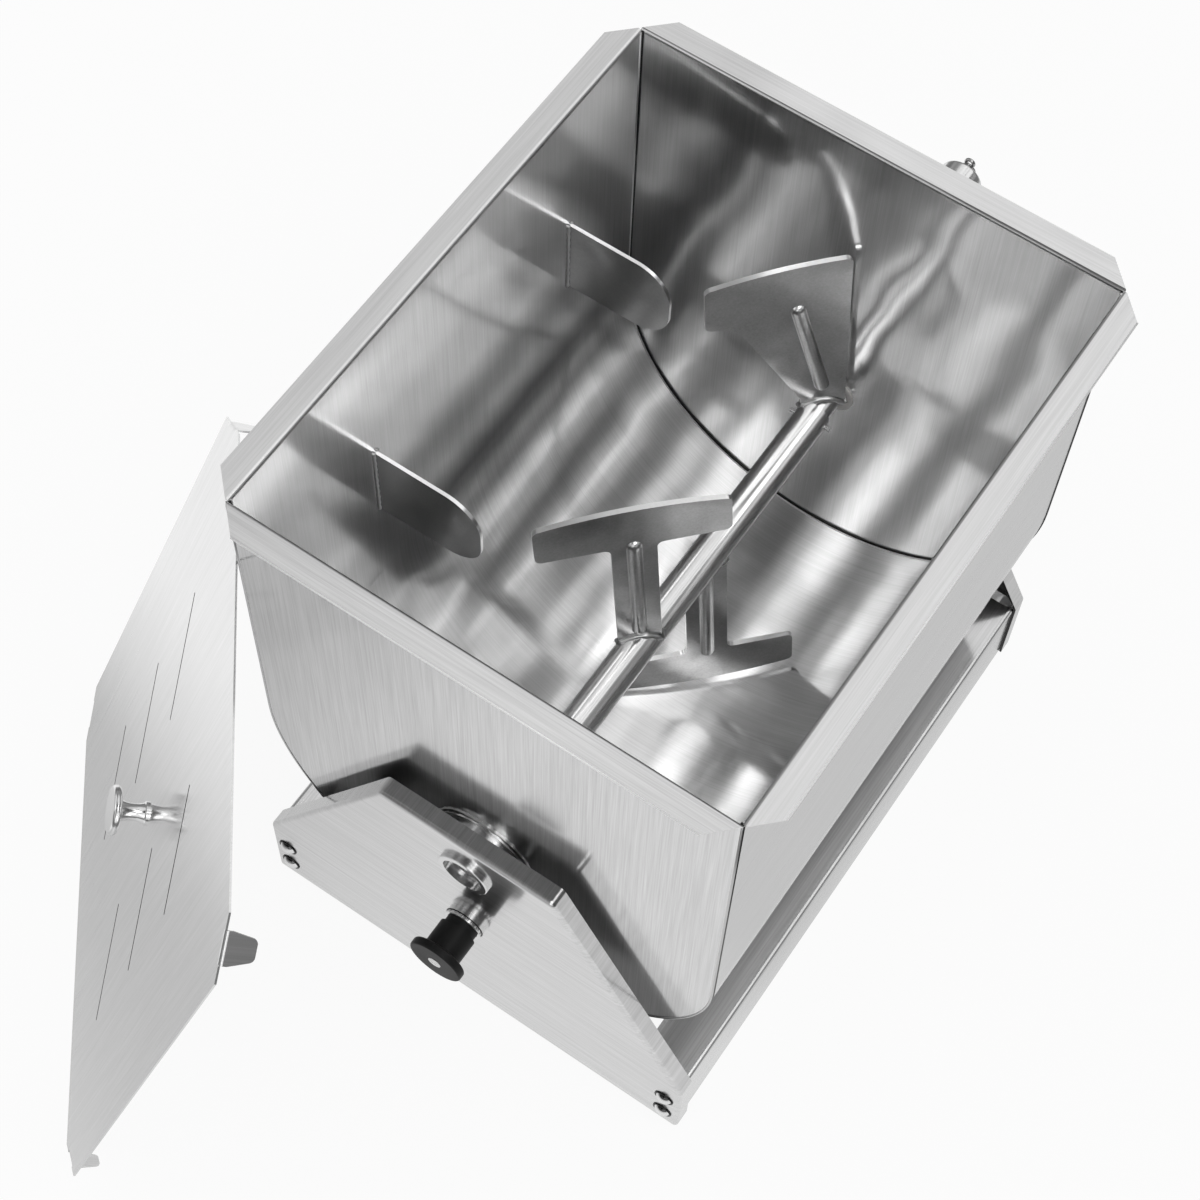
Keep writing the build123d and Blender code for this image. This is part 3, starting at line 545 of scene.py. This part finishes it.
def makePaddleWelds():
    # round each blade's foot, where it stands on the tube
    slant = sqrt(0.5)
    steps = paddleWelds["steps"]
    lowest = 0.00001
    for name, (station, low, high, down) in paddleWelds["roots"].items():
        flip = -1 if down else 1
        loop = []
        for face in (1, -1):
            off = face * (paddleWelds["plate"] + paddleWelds["gap"])
            for i in range(steps + 1):
                share = i / steps if face > 0 else 1 - i / steps
                a = (low + (high - low) * share) * flip
                x = a * slant + off * slant
                y = station + a * slant - off * slant
                z = sqrt(max(shaft["tubeRadius"] ** 2 - x * x, lowest)) * flip
                loop.append(onMixer(x, y, z))
        bead(name, loop, paddleWelds["radius"], "mixer", "weld", closed=True, ripple=paddleWelds["ripple"])


baffleWelds = dict(
    radius=0.0011, low=0.255, high=0.310, side=0.0014, inset=0.0004, steps=40, ripple=0.15,
    stations={"front_baffle_weld": -0.0675, "rear_baffle_weld": 0.106},
)


def makeBaffleWelds():
    # up both sides of each baffle, where it stands on the left wall
    x = -hopper["halfWidth"] + baffleWelds["inset"]
    low, steps = baffleWelds["low"], baffleWelds["steps"]
    tall = baffleWelds["high"] - low
    for name, station in baffleWelds["stations"].items():
        for side, word in ((-1, "_near"), (1, "_far")):
            y = station + side * baffleWelds["side"]
            line = [(x, y, low + tall * i / steps) for i in range(steps + 1)]
            bead(name + word, line, baffleWelds["radius"], "hopper", "weld", ripple=baffleWelds["ripple"])


trunnionWelds = dict(ring=0.0292, gap=0.0003, radius=0.0013, steps=120, ripple=0.15)


def makeTrunnionWelds():
    # round the root of each trunnion, on the outside of its wall
    for side, name in ((-1, "front"), (1, "rear")):
        y = side * (hopper["halfLength"] + hopper["sheet"] + trunnionWelds["gap"])
        circle = ringPoints((0.0, shaft["height"]), trunnionWelds["ring"], y, trunnionWelds["steps"])
        size, ripple = trunnionWelds["radius"], trunnionWelds["ripple"]
        bead(name + "_trunnion_weld", circle, size, "hopper", "weld", closed=True, ripple=ripple)


makeSeams()
makeEdges()
makeScrewRings()
makeCollarTrim()
makePaddleWelds()
makeBaffleWelds()
makeTrunnionWelds()
print("seams and welds laid")

studio = dict(
    floorSize=14.0, floorDrop=0.0005, floorWhite=0.92, floorGlow=0.92, floorRough=0.5,
    backdrop=0.975, ambient=0.55,
)
# painted shade on the floor, seen only in metal: how much darker metal sees the floor, and where each shade
# begins and ends
floorShades = dict(
    besideRight=0.4, rightFrom=(0.10, 0.16), rightTo=(0.4, 0.8), rightRear=(-0.28, -0.05),
    far=0.8, farFrom=(0.7, 1.6),
    near=0.22, nearFrom=(-0.42, -0.34),
    left=0.22, leftFrom=(-0.36, -0.30), leftTo=(-0.28, -0.02),
)
# what polished metal sees overhead, by the angle from straight up toward +X
ceiling = dict(
    stripes=[
        (-90, 0.8), (-60, 0.3), (-46, 0.2), (-33, 0.3), (-25, 0.66), (-17, 0.83), (-9, 0.75), (-5, 0.85),
        (-1, 1.6), (4, 1.6), (8, 0.15), (12, 1.9), (17, 1.9), (21, 0.1), (29, 2.0), (40, 2.0), (46, 0.1),
        (60, 0.3), (90, 0.8),
    ],
    behind=[
        (-90, 0.6), (-62, 0.1), (-52, 0.7), (-44, 0.5), (-39, 0.3), (-36, 2.7), (-31, 2.7), (-28, 0.4),
        (-20, 0.6), (-12, 0.08), (0, 0.08), (9, 0.15), (14, 2.0), (20, 1.6), (26, 1.4), (32, 2.3),
        (38, 2.0), (44, 0.15), (58, 0.1), (90, 0.6),
    ],
    change=(-0.06, 0.06), fade=(0.22, 0.40), horizon=0.15,
    cardFrom=(-0.38, -0.35), cardTo=(0.02, 0.14), cardShade=0.80, cap=0.95,
)


def seenDirectly(finish):
    # seen by the eye, and seen in metal or through glass
    path = finish.add("ShaderNodeLightPath").socket.node.outputs
    camera = Wire(finish, path["Is Camera Ray"])
    glossy = Wire(finish, path["Is Glossy Ray"])
    return camera, glossy.maths("MAXIMUM", glossy, Wire(finish, path["Is Transmission Ray"]))


def makeFloor():
    half = studio["floorSize"] / 2
    mesh = bpy.data.meshes.new("studioFloor")
    corners = [(-half, -half, 0), (half, -half, 0), (half, half, 0), (-half, half, 0)]
    mesh.from_pydata(corners, [], [(0, 1, 2, 3)])
    floor = bpy.data.objects.new("studioFloor", mesh)
    floor.location.z = -studio["floorDrop"]
    scene.collection.objects.link(floor)
    material, finish = newMaterial("paleFloor")
    sockets = {"Color": shade(studio["floorWhite"]), "Roughness": studio["floorRough"]}
    paper = finish.add("ShaderNodeBsdfDiffuse", None, sockets)
    camera, mirrored = seenDirectly(finish)
    x, y, z = finish.parts(finish.place())
    shades = floorShades
    beside = finish.step(x, *shades["rightFrom"]) * (1 - finish.step(x, *shades["rightTo"]))
    beside = beside * finish.step(y, *shades["rightRear"]) * shades["besideRight"]
    far = finish.step(x.maths("SQRT", x * x + y * y), *shades["farFrom"]) * shades["far"]
    near = finish.step(x, *shades["nearFrom"]) * shades["near"]
    left = finish.step(x, *shades["leftFrom"]) * (1 - finish.step(x, *shades["leftTo"])) * shades["left"]
    dim = far.maths("MAXIMUM", far, beside)
    dim = dim.maths("MAXIMUM", dim, near + left)
    # painted shade: the floor shows these darker zones only to reflections
    level = 1 - mirrored * dim
    glow = finish.add("ShaderNodeEmission", None, {"Color": shade(1.0), "Strength": level})
    seen = camera.maths("MAXIMUM", camera, mirrored) * studio["floorGlow"]
    both = finish.add("ShaderNodeMixShader", None, {0: seen, 1: paper, 2: glow})
    finish.add("ShaderNodeOutputMaterial", None, {"Surface": both})
    mesh.materials.append(material)


def makeWorld():
    world = bpy.data.worlds.new("paleStudio")
    scene.world = world
    world.use_nodes = True
    finish = Finish(world.node_tree)
    x, y, z = finish.parts(finish.add("ShaderNodeTexCoord", out="Generated"))
    share = x.maths("ARCTAN2", x, z) / pi + 0.5
    sides = []
    for side in ("stripes", "behind"):
        peak = max(level for angle, level in ceiling[side])
        stops = [((angle + 90) / 180, level / peak) for angle, level in ceiling[side]]
        sides.append(finish.ramp(share, stops) * peak)
    beyond = finish.step(y, *ceiling["change"])
    stripes = sides[0] * beyond + sides[1] * (1 - beyond)
    # a dark card overhead, which shows in the front stand's folded edge
    card = finish.step(y, *ceiling["cardFrom"]) * (1 - finish.step(y, *ceiling["cardTo"])) * (z > 0)
    overhead = finish.step(z, *ceiling["fade"])
    sky = ceiling["horizon"] + (stripes - ceiling["horizon"]) * overhead
    sky = sky * (1 - card * ceiling["cardShade"])
    # a sky mirrored once stays under white, so that flat sheets don't clip
    depth = Wire(finish, finish.add("ShaderNodeLightPath").socket.node.outputs["Glossy Depth"])
    once = depth < 1.5
    sky = sky.maths("MINIMUM", sky, ceiling["cap"]) * once + sky * (1 - once)
    camera, mirrored = seenDirectly(finish)
    rest = 1 - camera.maths("MAXIMUM", camera, mirrored)
    strength = camera * studio["backdrop"] + mirrored * sky + rest * studio["ambient"]
    shown = finish.add("ShaderNodeBackground", None, {"Color": shade(1.0), "Strength": strength})
    finish.add("ShaderNodeOutputWorld", None, {"Surface": shown})


lamps = {
    "topBox": dict(at=(0.9, -0.2, 2.4), to=(0, 0, 0.2), size=1.2, power=9.0),
    "leftBox": dict(at=(-2.2, -0.8, 1.2), to=(0, 0, 0.2), size=1.8, power=8.0),
    "frontBox": dict(at=(1.2, -2.2, 1.4), to=(0, 0, 0.2), size=1.6, power=6.0),
}


def makeLamps():
    for name, lamp in lamps.items():
        data = bpy.data.lights.new(name, "AREA")
        data.shape = "SQUARE"
        data.size = lamp["size"]
        data.energy = lamp["power"]
        thing = bpy.data.objects.new(name, data)
        place, aim = Vector(lamp["at"]), Vector(lamp["to"])
        thing.location = place
        thing.rotation_euler = (aim - place).to_track_quat("-Z", "Y").to_euler()
        scene.collection.objects.link(thing)


# solved from the edges of the hopper, stand and rails in the photo
photoView = dict(
    lens=76.4, sensor=36.0, clipEnd=50.0, place=(0.31404, -0.57173, 1.41649),
    right=(0.82552, 0.56366, 0.0212), up=(-0.50609, 0.72342, 0.46949), back=(0.24924, -0.39821, 0.88309),
)


def makeCamera():
    data = bpy.data.cameras.new("photoCamera")
    data.lens = photoView["lens"]
    data.sensor_width = photoView["sensor"]
    data.clip_end = photoView["clipEnd"]
    thing = bpy.data.objects.new("photoCamera", data)
    turn = Matrix([photoView[way] for way in ("right", "up", "back")]).transposed()
    thing.matrix_world = Matrix.Translation(photoView["place"]) @ turn.to_4x4()
    scene.collection.objects.link(thing)
    scene.camera = thing


makeFloor()
makeWorld()
makeLamps()
makeCamera()
scene.view_settings.view_transform = "Standard"
print("studio ready")
